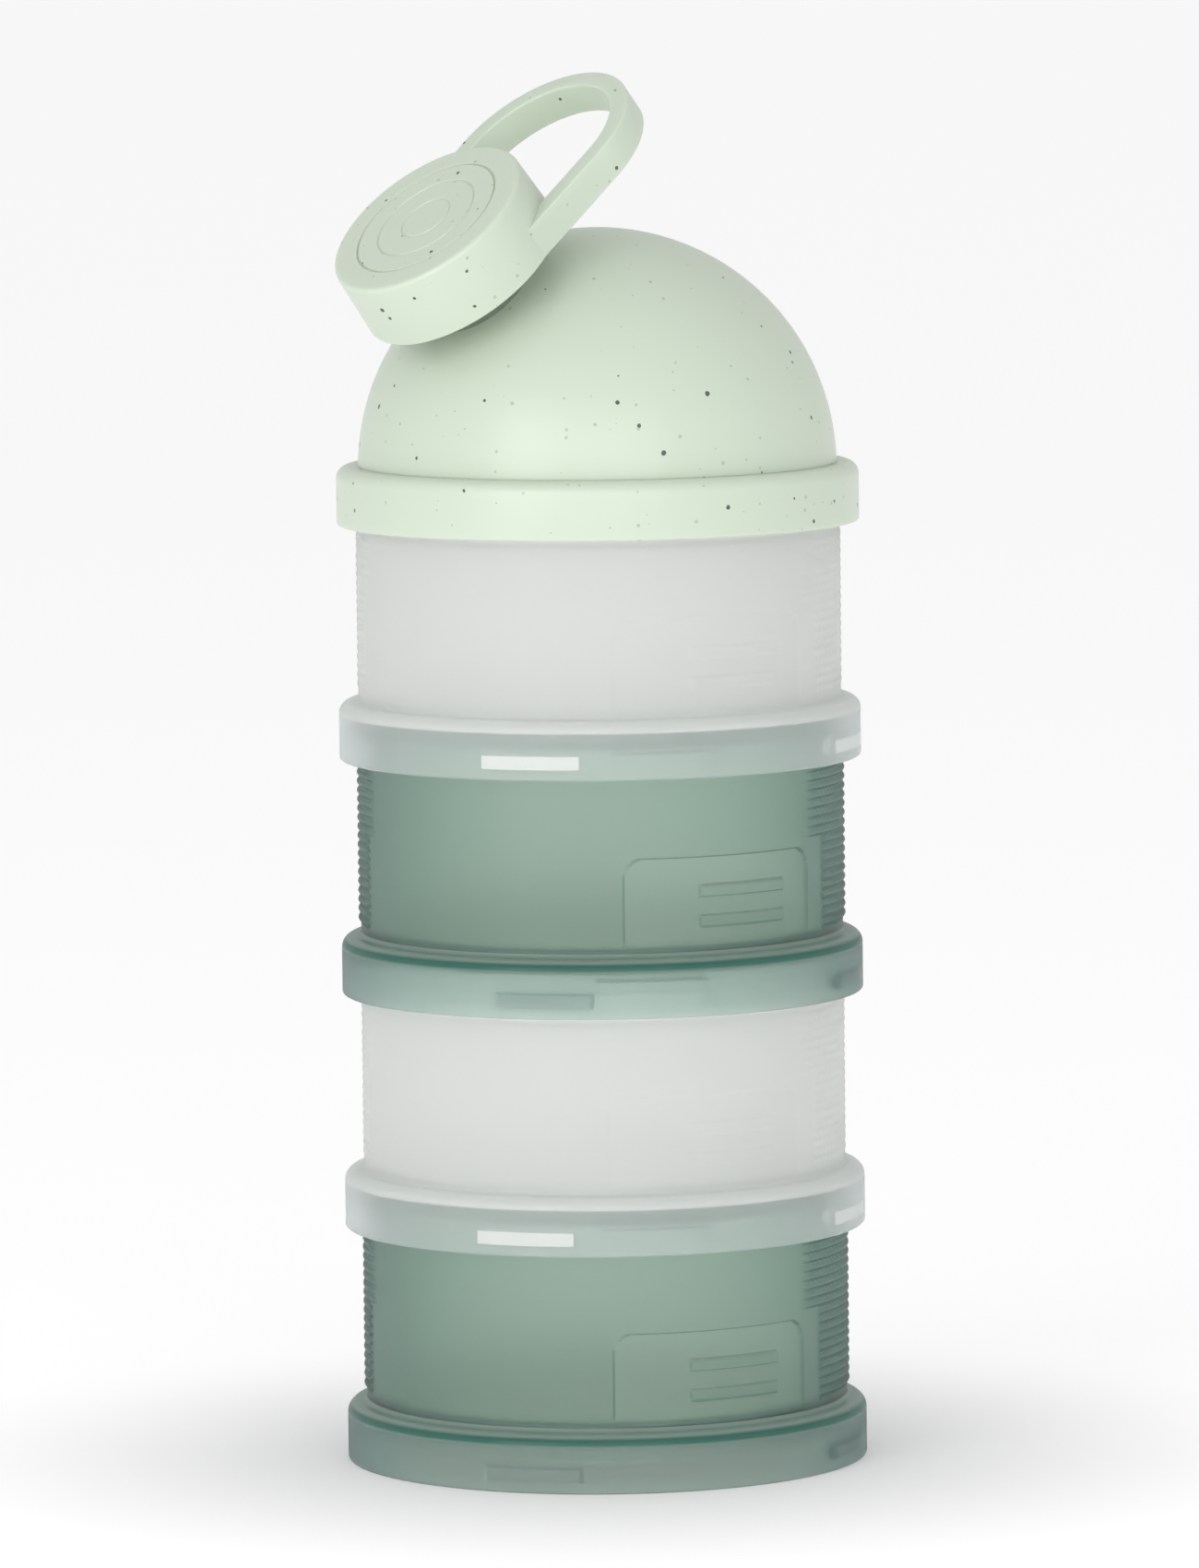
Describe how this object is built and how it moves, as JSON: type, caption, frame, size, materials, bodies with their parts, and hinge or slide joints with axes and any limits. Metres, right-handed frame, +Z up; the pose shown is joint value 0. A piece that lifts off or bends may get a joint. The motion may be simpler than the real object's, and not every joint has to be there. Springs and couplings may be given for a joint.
{
  "type": "stackable formula dispenser",
  "caption": "Stack of round twist-together powder pots with flared skirts under a domed lid, whose tilted capped spout carries a flat carrying loop.",
  "frame": {"origin": "centre of the stack's base, at table level, on the axis that the pots turn about", "axes": "+Z up along the stack, -Y the front where the label panels are just right of centre, +X to the viewer's right; the spout leans towards -X and -Y"},
  "size_m": [0.08, 0.08, 0.2129],
  "materials": {
    "sage_plastic": "translucent sage green polypropylene, satin outside",
    "frost_plastic": "frosted natural white polypropylene, satin outside",
    "mint_plastic": "opaque pale mint with sparse dark fibre specks, satin",
    "silicone": "clear white silicone, smooth"
  },
  "bodies": {
    "pot_1": {"pot_1_green": "sage_plastic", "seal_pot_1": "silicone"},
    "ring_2": {"seal_pot_2": "silicone"},
    "pot_2": {"pot_2_white": "frost_plastic"},
    "ring_3": {"seal_pot_3": "silicone"},
    "pot_3": {"pot_3_green": "sage_plastic"},
    "ring_4": {"seal_pot_4": "silicone"},
    "pot_4": {"pot_4_white": "frost_plastic"},
    "ring_lid": {"seal_lid": "silicone"},
    "lid": {"dome_lid": "mint_plastic"},
    "ring_cap": {"seal_cap": "silicone"},
    "cap": {"spout_cap": "mint_plastic"}
  },
  "joints": [
    {"name": "lift_pot_2", "type": "slide", "parent": "pot_1", "child": "ring_2", "axis": [0, 0, 1], "range_m": [0, 0.04]},
    {"name": "turn_pot_2", "type": "hinge", "parent": "ring_2", "child": "pot_2", "pos_m": [0, 0, 0.03604], "axis": [0, 0, 1], "range_deg": [0, 24]},
    {"name": "lift_pot_3", "type": "slide", "parent": "pot_2", "child": "ring_3", "axis": [0, 0, 1], "range_m": [0, 0.04]},
    {"name": "turn_pot_3", "type": "hinge", "parent": "ring_3", "child": "pot_3", "pos_m": [0, 0, 0.07208], "axis": [0, 0, 1], "range_deg": [0, 24]},
    {"name": "lift_pot_4", "type": "slide", "parent": "pot_3", "child": "ring_4", "axis": [0, 0, 1], "range_m": [0, 0.04]},
    {"name": "turn_pot_4", "type": "hinge", "parent": "ring_4", "child": "pot_4", "pos_m": [0, 0, 0.10812], "axis": [0, 0, 1], "range_deg": [0, 24]},
    {"name": "lift_lid", "type": "slide", "parent": "pot_4", "child": "ring_lid", "axis": [0, 0, 1], "range_m": [0, 0.04]},
    {"name": "turn_lid", "type": "hinge", "parent": "ring_lid", "child": "lid", "pos_m": [0, 0, 0.14416], "axis": [0, 0, 1], "range_deg": [0, 24]},
    {"name": "pull_cap", "type": "slide", "parent": "lid", "child": "ring_cap", "axis": [-0.4934, -0.414, 0.7649], "range_m": [0, 0.03]},
    {"name": "turn_cap", "type": "hinge", "parent": "ring_cap", "child": "cap", "pos_m": [0, 0, 0.15255], "axis": [-0.4934, -0.414, 0.7649], "continuous": true}
  ]
}
